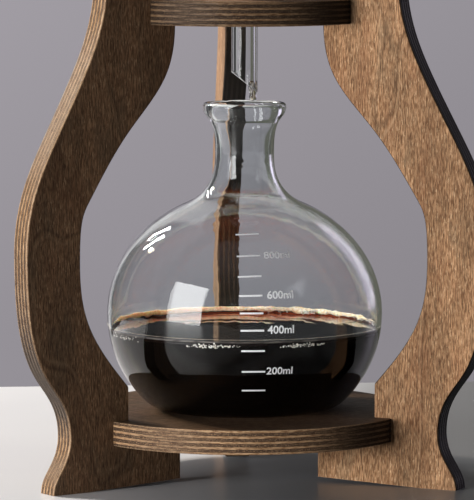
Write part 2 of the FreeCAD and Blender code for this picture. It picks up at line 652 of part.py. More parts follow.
def make_knob():
    stub_end = -BARREL_HALF - FACE_PLAY - SHOULDER_THICK - STUB_LENGTH
    knob = along_y(KNOB_RADIUS, KNOB_FRONT, KNOB_REAR)
    knob = rounded(knob, KNOB_EDGE, lambda edge: edge.Closed)
    knob = knob.fuse(along_y(KNOB_HUB, KNOB_REAR, -BARREL_HALF - FACE_PLAY - SHOULDER_THICK))
    for index in range(KNOB_FLUTES):
        angle = 2 * math.pi * (index + 0.5) / KNOB_FLUTES
        centre = V(0, 0, COCK_MIDDLE) + V(math.cos(angle), 0, math.sin(angle)) * FLUTE_PLACE
        knob = knob.cut(disc(FLUTE_RADIUS, KNOB_FRONT, KNOB_REAR, V(0, 1, 0), centre))
    knob = knob.cut(along_y(STUB_RADIUS, stub_end, 0))
    knob = knob.cut(along_y(SCREW_SHANK, KNOB_FRONT, stub_end))
    return knob.cut(along_y(SCREW_HEAD, KNOB_FRONT, KNOB_FRONT + SCREW_HEAD_THICK))


def make_knob_screw():
    head_rear = KNOB_FRONT + SCREW_HEAD_THICK
    screw = along_y(SCREW_HEAD, KNOB_FRONT, head_rear)
    screw = screw.fuse(along_y(SCREW_SHANK, head_rear, head_rear + SCREW_LENGTH))
    key = hex_prism(KEY_FLATS, KNOB_FRONT, KNOB_FRONT + KEY_DEPTH, V(0, 1, 0), V(0, 0, COCK_MIDDLE))
    return screw.cut(key)


def make_turning_parts():
    washer_front = BARREL_HALF + FACE_PLAY
    nut_front = washer_front + WASHER_THICK
    nut = hex_prism(NUT_FLATS, nut_front, nut_front + NUT_THICK, V(0, 1, 0), V(0, 0, COCK_MIDDLE))
    return {
        "cock_plug": make_plug(),
        "cock_knob": make_knob(),
        "knob_screw": make_knob_screw(),
        "plug_washer": along_y(WASHER_RADIUS, washer_front, nut_front).cut(
            along_y(TAIL_RADIUS, washer_front, nut_front)),
        "plug_nut": nut.cut(along_y(TAIL_RADIUS, nut_front, nut_front + NUT_THICK)),
    }


# ---- lid -------------------------------------------------------------------------
def make_lid_plate():
    top = LID_BOTTOM + LID_THICK
    plate = rounded(disc(LID_RADIUS, LID_BOTTOM, top), LID_EDGE, lambda edge: edge.Closed)
    lid = plate.fuse(disc(SPIGOT_RADIUS, LID_BOTTOM - SPIGOT_DEPTH, LID_BOTTOM))
    seal_groove = Part.makeTorus(SPIGOT_RADIUS, SEAL_THICK, V(0, 0, LID_BOTTOM - SEAL_DROP))
    vent = disc(VENT_RADIUS, LID_BOTTOM - SPIGOT_DEPTH, top, centre=V(VENT_PLACE, 0, 0))
    return lid.cut(seal_groove).cut(vent).cut(disc(KNOB_TENON, top - TENON_DEPTH, top))


def make_lid_knob():
    bottom = LID_BOTTOM + LID_THICK
    top = bottom + LID_KNOB_HEIGHT
    foot = (LID_KNOB_FOOT, bottom)
    neck, head = [(radius, bottom + height) for radius, height in (LID_KNOB_NECK, LID_KNOB_HEAD)]
    side = sweep_curve([foot, neck, head, (0, top)], LID_KNOB_WAY, (-1, 0))
    tenon = run((0, top), (0, bottom - TENON_DEPTH), (KNOB_TENON, bottom - TENON_DEPTH),
                (KNOB_TENON, bottom), foot)
    return turned(side + tenon)


def make_lid():
    return {
        "globe_lid": make_lid_plate(),
        "lid_knob": make_lid_knob(),
        "lid_seal": Part.makeTorus(SPIGOT_RADIUS, SEAL_THICK, V(0, 0, LID_BOTTOM - SEAL_DROP)),
    }


def main():
    os.makedirs("parts", exist_ok=True)
    parts = make_stand()
    parts["chamber_grommet"] = make_chamber_grommet()
    parts["globe_seat"] = make_globe_seat()
    parts["flask"] = make_flask()
    parts["brewed_coffee"] = make_coffee()
    parts.update(make_brewer())
    parts.update(make_reservoir())
    parts.update(make_turning_parts())
    parts.update(make_lid())
    for name, shape in parts.items():
        print(name, shape.isValid(), len(shape.Solids), round(shape.Volume / 1000, 2), "cm3")
        shape.exportStep("parts/%s.step" % name)


main()
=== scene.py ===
"""Looks of the cold drip coffee tower: stained plywood, blown glass, coffee, steel and silicone.

Metres, +Z up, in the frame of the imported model: the tower's axis is the Z axis and -Y is its front.
"""
import math
import random

import bmesh
import bpy
from mathutils import Euler, Matrix, Vector, noise


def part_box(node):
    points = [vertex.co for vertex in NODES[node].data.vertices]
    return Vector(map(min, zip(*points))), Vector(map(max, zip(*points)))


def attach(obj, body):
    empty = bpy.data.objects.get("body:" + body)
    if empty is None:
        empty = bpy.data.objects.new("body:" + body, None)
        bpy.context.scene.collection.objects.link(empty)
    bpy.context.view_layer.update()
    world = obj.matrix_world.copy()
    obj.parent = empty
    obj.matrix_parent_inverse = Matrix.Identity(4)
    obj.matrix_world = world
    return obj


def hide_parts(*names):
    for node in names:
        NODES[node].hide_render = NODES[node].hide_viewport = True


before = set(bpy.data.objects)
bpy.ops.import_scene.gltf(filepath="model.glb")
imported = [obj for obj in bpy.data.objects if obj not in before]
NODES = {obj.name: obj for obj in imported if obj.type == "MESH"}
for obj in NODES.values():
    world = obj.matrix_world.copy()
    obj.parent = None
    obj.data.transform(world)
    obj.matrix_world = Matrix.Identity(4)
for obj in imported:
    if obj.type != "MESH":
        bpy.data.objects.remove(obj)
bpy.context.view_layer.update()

MM = 0.001
TO_MILLIMETRES = (1000, 1000, 1000)

# ---- camera --------------------------------------------------------------------------
IMAGE_HEIGHT = 500              # pixels
FOCAL_PIXELS = 4072.0
SENSOR = 36.0                   # millimetres
CAMERA_PLACE = (-0.1633, -1.9046, 0.3000)
CAMERA_PITCH = 5.78             # degrees below the horizon
CAMERA_YAW = 4.9                # degrees to the right of +Y
AXIS_OFFSET_PIXELS = 7.5        # the tower's axis stands this far right of the image's middle

# ---- glass flask ---------------------------------------------------------------------
FLASK_RADIUS = 65.0 * MM
FLASK_MIDDLE = 77.0 * MM
FLASK_RISE = 57.5 * MM
FLASK_DROP = 60.5 * MM
FLASK_WALL = 2.0 * MM
COFFEE_LEVEL = 70.8 * MM        # where it wets the glass
SURFACE_LEVEL = 69.5 * MM
PRINT_AZIMUTH = -92.9           # degrees; the printed scale faces the front
PRINT_LIFT = 0.05 * MM
TICK_LENGTH = 10.8 * MM
TICK_HALF_WIDTH = 0.42 * MM
TICK_SLANT = 0.05               # rise of the upper marks per length
LABEL_START = 7.4               # degrees to the right of the scale's middle
LABEL_SIZE = 5.1 * MM
LABEL_DROP = 0.28               # of its size a label's base line lies under its mark
LABEL_BOLDNESS = 0.09 * MM
# millilitres: height of the mark in millimetres
TICK_HEIGHTS = {100: 47.3, 200: 56.6, 300: 66.5, 400: 76.0, 500: 83.9, 600: 91.8, 700: 100.3,
                800: 109.2, 900: 118.3}

# ---- brew chamber and its stem -------------------------------------------------------
CHAMBER_MIDDLE = 254.5 * MM     # height of the centre of its round bottom
STEM_RADIUS = 6.1 * MM
STEM_WALL = 1.8 * MM
STEM_TIP = 181.0 * MM           # lowest point of its slanting end, on the +X side
STEM_SLANT = 9.7 * MM           # the other side of the end is this much higher
DROP_PLACE = 3.9 * MM           # from the axis, under the stem's lowest edge
# the hanging drop, radius and height in millimetres
DROP_OUTLINE = ((0.0, 186.6), (1.4, 186.2), (2.05, 184.9), (2.1, 183.2), (1.85, 181.8), (1.6, 180.6),
                (1.55, 179.6), (1.75, 178.7), (1.65, 177.8), (1.0, 177.15), (0.0, 176.95))

# ---- studio, colours linear ----------------------------------------------------------
BACKDROP = (0.298, 0.280, 0.307)
FLOOR_BRIGHT = (0.71, 0.705, 0.715)
FLOOR_CLOUD = (0.675, 0.67, 0.685)
# painted shadow on the floor
FLOOR_PAINTED_SHADOW = (0.20, 0.20, 0.205)
DIFFUSE_SHARE = 0.4             # of the studio walls' light falls on rough surfaces
NEAR_WALL_CROSSINGS = 2.5       # a ray that has crossed more faces of glass has left the near wall


# ---- node trees ----------------------------------------------------------------------
class Tree:
    """Short-hand for one material's or world's nodes."""

    def __init__(self, owner):
        owner.use_nodes = True
        self.owner = owner
        self.nodes = owner.node_tree.nodes
        self.links = owner.node_tree.links
        self.nodes.clear()

    def add(self, kind, sockets=(), output=0, **settings):
        """Makes a node and returns one of its outputs. Sockets are (name or number, value or output)."""
        made = self.nodes.new("ShaderNode" + kind)
        for key, value in settings.items():
            setattr(made, key, value)
        for key, value in dict(sockets).items():
            if isinstance(value, bpy.types.NodeSocket):
                self.links.new(value, made.inputs[key])
            else:
                made.inputs[key].default_value = value
        return made.outputs[output] if len(made.outputs) else made

    def place(self):
        """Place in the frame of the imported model, in metres."""
        return self.add("TexCoord", output=3)

    def place_in_mm(self):
        return self.add("Mapping", {"Vector": self.place(), "Scale": TO_MILLIMETRES})

    def axes(self, vector):
        """X, Y and Z of a vector."""
        return self.add("SeparateXYZ", {0: vector}).node.outputs

    def math(self, operation, first, second=0.0):
        return self.add("Math", {0: first, 1: second}, operation=operation)

    def scale(self, vector, factor):
        """A vector or a colour times a number."""
        return self.add("VectorMath", {0: vector, 3: factor}, operation="SCALE")

    def mix(self, share, first, second):
        """Colour or number between first and second."""
        return self.add("Mix", {0: share, 6: first, 7: second}, output=2, data_type="RGBA")

    def ramp(self, value, low, high, low_result, high_result):
        """low_result where value is low, high_result where it is high, a straight line between."""
        return self.add("MapRange", {0: value, 1: low, 2: high, 3: low_result, 4: high_result})

    def steps(self, value, low, high, low_result=0.0, high_result=1.0):
        """As ramp, with a soft start and end."""
        return self.add("MapRange", {0: value, 1: low, 2: high, 3: low_result, 4: high_result},
                        interpolation_type="SMOOTHSTEP")

    def noise(self, place, scale, detail=3.0, roughness=0.5, stretch=(1, 1, 1)):
        stretched = self.add("Mapping", {"Vector": place, "Scale": stretch})
        return self.add("TexNoise", {"Vector": stretched, "Scale": scale, "Detail": detail,
                                     "Roughness": roughness})

    def bump(self, height, distance, strength=1.0):
        return self.add("Bump", {"Height": height, "Distance": distance, "Strength": strength})

    def principled(self, sockets):
        return self.add("BsdfPrincipled", sockets)

    def finish(self, shader):
        self.add("OutputMaterial", {"Surface": shader})
        return self.owner


def new_tree(name):
    return Tree(bpy.data.materials.new(name))


def colour(red, green, blue):
    return (red, green, blue, 1.0)


# ---- wood ----------------------------------------------------------------------------
PLY_COUNT = 9
PLY_BOARD = 11.4                # thickness of the board, millimetres
# turns a shelf, whose grain is along X and whose thickness is along Z, into the board's own frame
FLAT_BOARD = Matrix(((0, 1, 0), (0, 0, 1), (1, 0, 0)))

# board, direction from the tower's axis in degrees, shade of the faces, shade of the edges, gloss. The
# shades are
# painted light and shade on one plywood: the left leg's face, turned from the lamps, is painted darker, and
# the right leg's edges, which no lamp reaches, are painted nearly black
LEGS = (("leg_rear", 90.0, 0.75, 0.85, 0.30),
        ("leg_left", 210.0, 0.47, 0.80, 0.32),
        ("leg_right", 330.0, 0.94, 0.10, 0.08))
# board, shade of the faces, shade of the edges, gloss; the base shelf's dark faces are a painted shadow of
# the flask and the shelf above
SHELVES = (("base_shelf", 0.26, 0.90, 0.24),
           ("middle_shelf", 0.70, 0.36, 0.20),
           ("top_ring", 0.70, 0.70, 0.30),
           ("globe_lid", 0.80, 0.80, 0.30))
LEG_INNER_SHADE = 0.18           # painted shade: the legs' edges are darker on the side of the tower's axis, between the legs
# painted shade on the edges, which changes with how they face along the grain (-1 to 1): the legs' edges are
# darker where they face down, the shelves' edges where they face +X, away from the lamps. The facing where
# the change starts, the facing where it ends, the shade at its start, the shade at its end
LEG_FACING_SHADE = (-0.40, 0.15, 0.25, 1.0)
SHELF_FACING_SHADE = (0.30, 0.80, 1.0, 0.30)

VENEER_DARK = colour(0.145, 0.068, 0.031)
VENEER_LIGHT = colour(0.420, 0.240, 0.126)
VENEER_DASH = colour(0.72, 0.49, 0.29)
VENEER_RED = colour(0.200, 0.085, 0.040)
VENEER_OLIVE = colour(0.175, 0.125, 0.075)
# growth lines: place in the ring, half width, strength, colour
GROWTH_LINES = ((0.50, 0.030, 0.40, colour(0.050, 0.024, 0.012)),
                (0.55, 0.025, 0.22, colour(0.50, 0.34, 0.20)))
# dark and light fibres, seen along and at their cut ends
LONG_GRAIN = (colour(0.185, 0.095, 0.045), colour(0.52, 0.33, 0.185))
CUT_GRAIN = (colour(0.022, 0.012, 0.008), colour(0.32, 0.19, 0.105))
GLUE = colour(0.018, 0.010, 0.007)
RUBBED_WOOD = colour(0.50, 0.345, 0.215)


def board_frame(tree, turning, middle):
    """Place and surface direction in the board's own frame, in millimetres: X across the grain of
    the face, Y through the board from its middle, Z along the grain."""
    turn = turning.to_euler("XYZ")
    place = tree.add("Mapping", {"Vector": tree.place(), "Location": (0, -middle, 0), "Rotation": turn,
                                 "Scale": TO_MILLIMETRES})
    normal = tree.add("NewGeometry", output=1)
    facing = tree.add("Mapping", {"Vector": normal, "Rotation": turn}, vector_type="VECTOR")
    return place, facing


def face_grain(tree, place):
    """Colour of the stained veneer: dark pores and light flecks along the grain, reddish and olive
    zones, and growth lines, each with a lighter line beside it."""
    flecks = tree.noise(place, 1.0, 3.0, 0.60, (1.9, 1.9, 0.28))
    streaks = tree.noise(place, 1.0, 3.0, 0.55, (2.3, 2.3, 0.11))
    dashes = tree.noise(place, 1.0, 2.0, 0.5, (2.2, 2.2, 0.42))
    blotches = tree.noise(place, 1.0, 3.0, 0.5, (0.055, 0.055, 0.016))
    warmth = tree.noise(place, 1.0, 2.0, 0.5, (0.09, 0.09, 0.03))
    body = tree.mix(tree.steps(flecks, 0.32, 0.68), VENEER_DARK, VENEER_LIGHT)
    body = tree.mix(tree.steps(dashes, 0.58, 0.72, 0.0, 0.55), body, VENEER_DASH)
    body = tree.mix(tree.steps(warmth, 0.52, 0.70, 0.0, 0.35), body, VENEER_RED)
    body = tree.mix(tree.steps(warmth, 0.44, 0.30, 0.0, 0.30), body, VENEER_OLIVE)
    dark = tree.steps(streaks, 0.36, 0.60, 0.62, 1.14)
    pale = tree.steps(blotches, 0.36, 0.66, 0.80, 1.18)
    body = tree.scale(body, tree.math("MULTIPLY", dark, pale))
    ring_count = 4.0
    contour = tree.noise(place, 1.0, 1.5, 0.45, (0.020, 0.020, 0.0065))
    ring = tree.math("FRACT", tree.math("MULTIPLY", contour, ring_count))
    for middle, half_width, strength, shade in GROWTH_LINES:
        off_line = tree.math("ABSOLUTE", tree.math("SUBTRACT", ring, middle))
        body = tree.mix(tree.steps(off_line, half_width, 0.0, 0.0, strength), body, shade)
    return body, flecks


def edge_grain(tree, place, facing):
    """Colour and roughness of a sawn and sanded edge: plies with the grain one way are long-grained,
    tan and smooth, those with it the other way are end grain, which takes more stain."""
    wander = 0.30               # of the seams, in plies
    contrast = 0.30             # between the plies of either direction
    _, through, _ = tree.axes(place)
    end_x, _, end_z = [tree.math("ABSOLUTE", output) for output in tree.axes(facing)]
    count = tree.math("MULTIPLY", tree.math("ADD", through, PLY_BOARD / 2), PLY_COUNT / PLY_BOARD)
    wobble = tree.noise(place, 1.0, 2.0, 0.5, (0.11, 0.5, 0.11))
    count = tree.math("ADD", count, tree.math("MULTIPLY", tree.math("SUBTRACT", wobble, 0.5), wander))
    odd = tree.math("GREATER_THAN", tree.math("PINGPONG", tree.math("ADD", count, 0.5), 1.0), 0.5)
    end_grain = tree.mix(odd, end_x, end_z)
    odd_shift = tree.math("MULTIPLY", tree.math("SUBTRACT", odd, 0.5), contrast)
    end_grain = tree.math("ADD", end_grain, odd_shift)
    dark = tree.steps(end_grain, 0.35, 0.95)
    specks = tree.noise(place, 1.0, 3.0, 0.7, (1.9, 1.9, 1.9))
    fibres = tree.noise(place, 1.0, 3.0, 0.6, (0.30, 2.6, 0.30))
    long_grain = tree.mix(tree.steps(fibres, 0.34, 0.66), *LONG_GRAIN)
    cut_grain = tree.mix(tree.steps(specks, 0.50, 0.70), *CUT_GRAIN)
    plies = tree.mix(tree.math("MULTIPLY", dark, 0.94), long_grain, cut_grain)
    off_middle = tree.math("ABSOLUTE", tree.math("SUBTRACT", tree.math("FRACT", count), 0.5))
    plies = tree.mix(tree.steps(off_middle, 0.37, 0.46, 0.0, 0.85), plies, GLUE)
    roughness = tree.ramp(dark, 0.0, 1.0, 0.24, 0.78)
    return plies, specks, roughness


def stained_plywood(name, turning, middle, face_shade, edge_shade, inner_shade, stain_and_shade, gloss):
    """Material of a board whose thickness has its middle at the given place (millimetres). Painted light
    and shade darken its faces, its edges, and its edges on the side of the tower's axis."""
    tree = new_tree(name)
    place, facing = board_frame(tree, turning, middle)
    face, flecks = face_grain(tree, place)
    edge, specks, edge_roughness = edge_grain(tree, place, facing)
    outward, through, along = tree.axes(facing)
    # painted shade on the edges: the board's edge shade, darker still on the side of the tower's axis
    tone = tree.steps(outward, -0.7, -0.2, edge_shade * inner_shade, edge_shade)
    # painted shade: edges darker where they face down on the legs and towards +X on the shelves
    tone = tree.math("MULTIPLY", tone, tree.steps(along, *stain_and_shade))
    edge = tree.scale(edge, tone)
    through = tree.math("ABSOLUTE", through)
    on_face = tree.steps(through, 0.80, 0.97)
    # the faces' painted light and shade
    body = tree.mix(on_face, edge, tree.scale(face, face_shade))
    worn = tree.math("MULTIPLY", tree.steps(through, 0.25, 0.6), tree.steps(through, 0.985, 0.80))
    rub = tree.steps(specks, 0.38, 0.60, 0.0, 0.55)
    rub = tree.math("MULTIPLY", tree.math("MULTIPLY", worn, rub), tone)
    body = tree.mix(rub, body, RUBBED_WOOD)
    roughness = tree.mix(on_face, edge_roughness, tree.steps(flecks, 0.3, 0.7, 0.62, 0.46))
    relief = tree.mix(on_face, specks, flecks)
    bump = tree.bump(relief, 0.00020, 0.70)
    shader = tree.principled({"Base Color": body, "Roughness": roughness, "Normal": bump,
                              "Specular IOR Level": gloss})
    return tree.finish(shader)


def dress_boards():
    """Stained plywood, laid along each board."""
    for name, turn, face_shade, edge_shade, gloss in LEGS:
        turning = Matrix.Rotation(math.radians(-turn), 3, "Z")
        dress(name, stained_plywood(name + "_ply", turning, 0.0, face_shade, edge_shade, LEG_INNER_SHADE,
                                    LEG_FACING_SHADE, gloss))
    for name, face_shade, edge_shade, gloss in SHELVES:
        _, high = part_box(name)
        middle = high.z / MM - PLY_BOARD / 2
        dress(name, stained_plywood(name + "_ply", FLAT_BOARD, middle, face_shade, edge_shade, 1.0,
                                    SHELF_FACING_SHADE, gloss))


def turned_wood():
    """Dark, oiled wood, its grain along Z."""
    tree = new_tree("turned_wood")
    place = tree.place_in_mm()
    fibres = tree.noise(place, 1.0, 4.0, 0.6, (1.1, 1.1, 0.12))
    rings = tree.noise(place, 1.0, 2.0, 0.5, (0.25, 0.06, 0.03))
    body = tree.mix(tree.steps(fibres, 0.34, 0.68), colour(0.070, 0.038, 0.022), colour(0.200, 0.120, 0.072))
    body = tree.mix(tree.steps(rings, 0.42, 0.62, 0.0, 0.55), body, colour(0.055, 0.028, 0.017))
    shader = tree.principled({"Base Color": body, "Roughness": tree.steps(fibres, 0.3, 0.7, 0.46, 0.34),
                              "Normal": tree.bump(fibres, 0.0001, 0.5), "Coat Weight": 0.12})
    return tree.finish(shader)


def dowel_wood():
    """Plain beech, its grain along Z."""
    tree = new_tree("dowel_wood")
    fibres = tree.noise(tree.place_in_mm(), 1.0, 4.0, 0.6, (1.6, 1.6, 0.15))
    body = tree.mix(tree.steps(fibres, 0.3, 0.7), colour(0.46, 0.31, 0.18), colour(0.66, 0.50, 0.33))
    return tree.finish(tree.principled({"Base Color": body, "Roughness": 0.6,
                                        "Normal": tree.bump(fibres, 0.0001, 0.5)}))


# ---- glass, liquid and soft materials ------------------------------------------------
def clear_glass(name, tint, waviness):
    """Blown glass. Lamps shine through it, so that what stands inside is lit."""
    tree = new_tree(name)
    waves = tree.noise(tree.place(), 42.0, 1.0, 0.4, (1, 1, 0.6))
    bump = tree.bump(waves, waviness, 0.35)
    glass = tree.principled({"Base Color": tint, "Roughness": 0.0, "IOR": 1.47, "Transmission Weight": 1.0,
                             "Normal": bump})
    clear = tree.add("BsdfTransparent", {"Color": colour(0.97, 0.98, 0.97)})
    for_lamps = tree.add("LightPath", output=1)
    return tree.finish(tree.add("MixShader", {0: for_lamps, 1: glass, 2: clear}))


def coffee_body():
    """Black coffee behind the glass that it touches: no surface of its own to shine. Above its level
    it clings to the glass as a thin grey-brown film."""
    tree = new_tree("coffee_body")
    place = tree.place()
    _, _, height = tree.axes(place)
    film = tree.steps(height, SURFACE_LEVEL - 0.3 * MM, SURFACE_LEVEL + 0.3 * MM)
    cloud = tree.noise(place, 160.0, 2.0, 0.5, (1, 1, 3))
    grey = tree.mix(tree.steps(cloud, 0.35, 0.65), colour(0.030, 0.026, 0.024),
                    colour(0.105, 0.094, 0.088))
    body = tree.mix(film, colour(0.0011, 0.0007, 0.0005), grey)
    return tree.finish(tree.principled({"Base Color": body, "Roughness": 0.9, "Specular IOR Level": 0.0}))


def coffee_surface():
    """Mirror-dark, and reddish brown at the back, where light shines into the thin edge. Its ripples
    run round the middle."""
    tree = new_tree("coffee_surface")
    place = tree.place()
    x, y, _ = tree.axes(place)
    back = tree.math("ADD", tree.math("MULTIPLY", x, 0.24), tree.math("MULTIPLY", y, 0.97))
    body = tree.mix(tree.steps(back, 0.022, 0.056), colour(0.004, 0.002, 0.0015),
                    colour(0.230, 0.038, 0.012))
    radius = tree.add("VectorMath", {0: place}, operation="LENGTH", output=1)
    around = tree.add("VectorMath", {0: place}, operation="NORMALIZE")
    around = tree.add("Mapping", {"Vector": around, "Scale": (2, 2, 0)})
    rings = tree.add("CombineXYZ", {0: tree.math("MULTIPLY", radius, 260.0), 1: x, 2: 0.0})
    swirl = tree.add("VectorMath", {0: around, 1: rings})
    ripple = tree.add("TexNoise", {"Vector": swirl, "Scale": 1.0, "Detail": 0.6, "Roughness": 0.4})
    bump = tree.bump(ripple, 0.0010, 0.40)
    return tree.finish(tree.principled({"Base Color": body, "Roughness": 0.05, "IOR": 1.34, "Normal": bump}))


def foam():
    """Pale froth that has soaked up coffee at its foot."""
    tree = new_tree("foam")
    place = tree.place()
    _, _, height = tree.axes(place)
    grain = tree.noise(place, 900.0, 3.0, 0.6)
    pale = tree.mix(tree.steps(grain, 0.35, 0.65), colour(0.72, 0.50, 0.30), colour(0.95, 0.85, 0.70))
    soaked = tree.steps(height, SURFACE_LEVEL + 1.6 * MM, SURFACE_LEVEL + 0.2 * MM)
    body = tree.mix(soaked, pale, colour(0.52, 0.25, 0.11))
    return tree.finish(tree.principled({"Base Color": body, "Roughness": 0.35, "Subsurface Weight": 0.4,
                                        "Subsurface Radius": (0.004, 0.002, 0.001), "Subsurface Scale": 0.5,
                                        "Normal": tree.bump(grain, 0.0002, 0.6)}))


def bubble_film():
    tree = new_tree("bubble_film")
    sheen = tree.noise(tree.place(), 500.0, 2.0)
    body = tree.mix(tree.steps(sheen, 0.35, 0.65), colour(0.88, 0.80, 0.70), colour(0.98, 0.96, 0.93))
    return tree.finish(tree.principled({"Base Color": body, "Roughness": 0.12, "Transmission Weight": 0.35,
                                        "IOR": 1.33}))


def dripping_coffee():
    tree = new_tree("dripping_coffee")
    streaks = tree.noise(tree.place(), 850.0, 2.0, 0.5, (1, 1, 0.12))
    tint = tree.mix(tree.steps(streaks, 0.36, 0.62), colour(0.62, 0.46, 0.22), colour(0.99, 0.97, 0.92))
    return tree.finish(tree.principled({"Base Color": tint, "Roughness": 0.0, "IOR": 1.33,
                                        "Transmission Weight": 1.0,
                                        "Normal": tree.bump(streaks, 0.0005, 0.8)}))


def print_white():
    """White print, a little worn, and greyer above the coffee, where light passes behind it."""
    tree = new_tree("print_white")
    place = tree.place()
    _, _, height = tree.axes(place)
    wear = tree.noise(place, 1500.0, 3.0, 0.6)
    body = tree.mix(tree.steps(wear, 0.35, 0.65), colour(0.74, 0.75, 0.76), colour(0.88, 0.89, 0.90))
    body = tree.mix(tree.steps(height, 0.080, 0.112, 0.0, 0.7), body, colour(0.46, 0.46, 0.48))
    roughness = tree.steps(wear, 0.3, 0.7, 0.50, 0.35)
    return tree.finish(tree.principled({"Base Color": body, "Roughness": roughness}))


def silicone():
    tree = new_tree("silicone")
    dust = tree.noise(tree.place(), 260.0, 4.0, 0.6)
    body = tree.mix(tree.steps(dust, 0.35, 0.7), colour(0.60, 0.60, 0.585), colour(0.74, 0.74, 0.72))
    roughness = tree.steps(dust, 0.3, 0.7, 0.38, 0.52)
    return tree.finish(tree.principled({"Base Color": body, "Roughness": roughness,
                                        "Subsurface Weight": 0.5, "Subsurface Radius": (0.003, 0.003, 0.003),
                                        "Subsurface Scale": 1.0, "Normal": tree.bump(dust, 0.00008, 0.4)}))


def seal_plastic():
    tree = new_tree("seal_plastic")
    marks = tree.noise(tree.place(), 400.0, 3.0, 0.6)
    body = tree.mix(tree.steps(marks, 0.35, 0.7), colour(0.76, 0.76, 0.74), colour(0.86, 0.86, 0.84))
    return tree.finish(tree.principled({"Base Color": body, "Roughness": 0.42,
                                        "Normal": tree.bump(marks, 0.00005, 0.4)}))


def ground_glass():
    """Glass that was cut and ground: whitish and a little rough."""
    tree = new_tree("ground_glass")
    return tree.finish(tree.principled({"Base Color": colour(0.80, 0.82, 0.82), "Roughness": 0.30}))


# ---- metal ---------------------------------------------------------------------------
def turned_steel(name, along, middle):
    """Stainless steel with the fine rings that a lathe leaves round the axis along Y or Z, which lies
    at a height, middle."""
    base, roughness = (0.60, 0.60, 0.594), 0.24
    tree = new_tree(name)
    place = tree.add("Mapping", {"Vector": tree.place(), "Location": (0, 0, -middle)})
    x, y, z = tree.axes(place)
    side, level = (z, y) if along == "Y" else (y, z)
    squares = tree.math("ADD", tree.math("MULTIPLY", x, x), tree.math("MULTIPLY", side, side))
    radius = tree.math("SQRT", squares)
    lathe = tree.add("CombineXYZ", {0: radius, 1: level, 2: 0.0})
    rings = tree.noise(lathe, 5200.0, 3.0, 0.6)
    smears = tree.noise(place, 95.0, 3.0, 0.55)
    shade = tree.math("MULTIPLY", tree.steps(rings, 0.3, 0.7, 0.90, 1.06),
                      tree.steps(smears, 0.3, 0.7, 0.94, 1.04))
    body = tree.scale(base, shade)
    rough = tree.math("ADD", tree.steps(smears, 0.35, 0.7, 0.0, 0.10), roughness)
    return tree.finish(tree.principled({"Base Color": body, "Metallic": 1.0, "Roughness": rough,
                                        "Normal": tree.bump(rings, 0.00002, 0.5)}))


def blasted_steel():
    """Steel blasted with fine grit, smoother where fingers hold it."""
    tree = new_tree("blasted_steel")
    place = tree.place()
    grit = tree.noise(place, 2600.0, 3.0, 0.65)
    handled = tree.noise(place, 120.0, 3.0, 0.5)
    body = tree.mix(tree.steps(handled, 0.35, 0.65), colour(0.50, 0.50, 0.50), colour(0.60, 0.60, 0.595))
    rough = tree.steps(handled, 0.3, 0.7, 0.44, 0.34)
    return tree.finish(tree.principled({"Base Color": body, "Metallic": 1.0, "Roughness": rough,
                                        "Normal": tree.bump(grit, 0.00006, 0.7)}))


# ---- grounds and paper ---------------------------------------------------------------
def wet_grounds():
    """Each grain has a tone of its own, which also lifts it; damp patches are darker and shine."""
    tree = new_tree("wet_grounds")
    place = tree.place()
    grains = tree.add("TexVoronoi", {"Vector": place, "Scale": 1150.0}, output=1)
    grain = tree.add("SeparateColor", {0: grains}, output=0)
    damp = tree.noise(place, 90.0, 3.0)
    body = tree.mix(grain, colour(0.018, 0.009, 0.005), colour(0.100, 0.050, 0.026))
    body = tree.mix(tree.steps(damp, 0.4, 0.65, 0.0, 0.5), body, colour(0.020, 0.010, 0.006))
    roughness = tree.steps(damp, 0.35, 0.65, 0.62, 0.34)
    return tree.finish(tree.principled({"Base Color": body, "Roughness": roughness,
                                        "Normal": tree.bump(grain, 0.0004, 0.8)}))


def filter_paper():
    """Fibrous paper with coffee stains."""
    tree = new_tree("filter_paper")
    place = tree.place()
    fibres = tree.noise(place, 700.0, 4.0, 0.7)
    stain_and_shade = tree.noise(place, 45.0, 3.0)
    body = tree.mix(tree.steps(fibres, 0.35, 0.7), colour(0.78, 0.73, 0.63), colour(0.87, 0.83, 0.75))
    body = tree.mix(tree.steps(stain_and_shade, 0.48, 0.66, 0.0, 0.6), body, colour(0.52, 0.36, 0.20))
    return tree.finish(tree.principled({"Base Color": body, "Roughness": 0.8,
                                        "Normal": tree.bump(fibres, 0.00015, 0.6)}))


# ---- dressing ------------------------------------------------------------------------
COCK_AXIS = 417.0 * MM          # height of the stopcock's plug, which lies along Y


def dress(name, material):
    """Gives a CAD node its material."""
    for slot in NODES[name].material_slots:
        slot.material = material


def dress_all(names, material):
    for name in names:
        dress(name, material)


def dress_fittings():
    dress_all(("base_dowels", "middle_dowels", "ring_dowels"), dowel_wood())
    dress_all(("chamber_grommet", "globe_seat", "filter_seal", "inner_gasket", "outer_gasket", "lid_seal"),
              silicone())
    dress("flask", clear_glass("flask_glass", colour(0.915, 0.950, 0.950), 0.0003))
    dress_all(("brew_chamber", "water_globe"),
              clear_glass("clear_glass", colour(0.975, 0.985, 0.975), 0.0004))
    dress_all(("filter_disc", "outlet_bolt", "cock_body", "drip_nozzle"),
              turned_steel("turned_steel", "Z", 0.0))
    dress_all(("cock_plug", "knob_screw", "plug_nut"), turned_steel("plug_steel", "Y", COCK_AXIS))
    dress("cock_knob", blasted_steel())
    dress("plug_washer", seal_plastic())
    dress("lid_knob", turned_wood())


# ---- meshes --------------------------------------------------------------------------
def add_object(name, data):
    made = bpy.data.objects.new(name, data)
    bpy.context.scene.collection.objects.link(made)
    return made


def finish_piece(name, mesh, material, smooth):
    for polygon in mesh.polygons:
        polygon.use_smooth = smooth
    mesh.materials.append(material)
    return add_object(name, mesh)


def new_piece(name, vertices, faces, material, smooth=True):
    mesh = bpy.data.meshes.new(name)
    mesh.from_pydata(vertices, [], faces)
    mesh.validate()
    mesh.update()
    return finish_piece(name, mesh, material, smooth)


